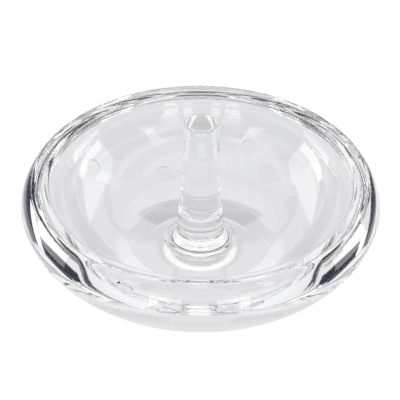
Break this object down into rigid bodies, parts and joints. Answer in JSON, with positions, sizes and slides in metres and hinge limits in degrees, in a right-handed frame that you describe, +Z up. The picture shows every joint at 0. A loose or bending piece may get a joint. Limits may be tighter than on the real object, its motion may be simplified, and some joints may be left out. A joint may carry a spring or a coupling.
{
  "type": "ring holder",
  "caption": "Clear glass ring holder: a thick round bowl with a heavy rounded rim and a slim tapered post on a flared foot rising from the middle of its floor.",
  "frame": {"origin": "middle of the underside, on the surface that the bowl stands on", "axes": "+Z up along the post, which is the axis that the bowl and the post are turned about"},
  "size_m": [0.11, 0.11, 0.051],
  "materials": {
    "clear_glass": "polished"
  },
  "bodies": {
    "root": {"bowl": "clear_glass", "ring_post": "clear_glass"}
  },
  "joints": []
}
